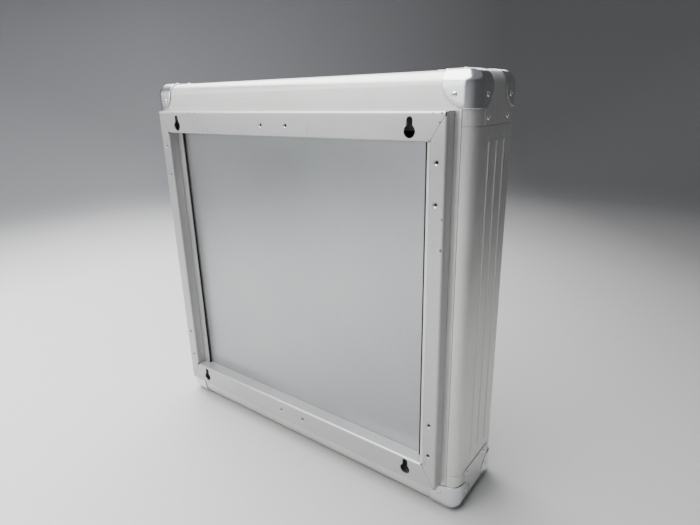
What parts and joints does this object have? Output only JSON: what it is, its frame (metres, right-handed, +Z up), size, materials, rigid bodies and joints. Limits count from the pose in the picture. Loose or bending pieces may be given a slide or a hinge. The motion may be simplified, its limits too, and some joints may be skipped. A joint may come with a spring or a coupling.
{
  "type": "lighted advertising sign",
  "caption": "Flat square light box of aluminium profiles with riveted corner caps, a folded wall frame with keyholes on its back, and a lit face that slides out with one side cover.",
  "frame": {"origin": "under the middle of the sign's bounding box, on the surface that it stands on", "axes": "+Z up; -Y the way the lit face looks; +Y out of the back, towards the wall; -X towards the side with the cover that slides off"},
  "size_m": [0.5494, 0.128, 0.5396],
  "materials": {
    "anodised": "satin anodised aluminium extrusion",
    "cap_steel": "pressed and polished steel",
    "frame_paint": "light silver-grey paint on folded sheet",
    "gasket_foam": "black closed-cell foam",
    "back_sheet": "satin mill-finish aluminium sheet",
    "bracket_steel": "zinc-plated steel",
    "opal_acrylic": "opal acrylic sheet",
    "graphic_film": "plain translucent film",
    "light_bar": "white lens on an aluminium strip",
    "driver_case": "white paint",
    "black_plastic": "black nylon",
    "lead_sleeve": "black sleeving"
  },
  "bodies": {
    "housing": {"back_panel": "back_sheet", "cable_gland": "black_plastic", "corner_cap_front_blind_bottom": "cap_steel", "corner_cap_front_blind_top": "cap_steel", "corner_cap_front_service_bottom": "cap_steel", "corner_cap_front_service_top": "cap_steel", "corner_cap_rear_blind_bottom": "cap_steel", "corner_cap_rear_blind_top": "cap_steel", "corner_cap_rear_service_bottom": "cap_steel", "corner_cap_rear_service_top": "cap_steel", "corner_strap_blind_bottom": "anodised", "corner_strap_blind_top": "anodised", "corner_strap_service_bottom": "anodised", "corner_strap_service_top": "anodised", "driver_lead": "lead_sleeve", "frame_corner_block_blind_bottom": "bracket_steel", "frame_corner_block_blind_top": "bracket_steel", "frame_corner_block_service_bottom": "bracket_steel", "frame_corner_block_service_top": "bracket_steel", "frame_rail_bottom": "frame_paint", "frame_rail_top": "frame_paint", "frame_stile_blind": "frame_paint", "frame_stile_service": "frame_paint", "gasket_blind": "gasket_foam", "gasket_bottom": "gasket_foam", "gasket_service": "gasket_foam", "gasket_top": "gasket_foam", "guide_bottom": "anodised", "guide_far": "anodised", "guide_top": "anodised", "housing_blind_side": "anodised", "housing_bottom": "anodised", "housing_top": "anodised", "led_driver": "driver_case", "light_bar_1": "light_bar", "light_bar_2": "light_bar", "light_bar_3": "light_bar", "light_bar_4": "light_bar", "light_lead": "lead_sleeve", "side_end_bottom": "anodised", "side_end_top": "anodised", "side_strip_front": "anodised", "side_strip_rear": "anodised", "terminal_block": "black_plastic"},
    "insert": {"service_cover": "anodised", "face_panel": "opal_acrylic", "graphic_sheet": "graphic_film", "insert_clip": "anodised"}
  },
  "joints": [
    {"name": "insert_slide", "type": "slide", "parent": "housing", "child": "insert", "axis": [-1, 0, 0], "range_m": [0, 0.42]}
  ]
}
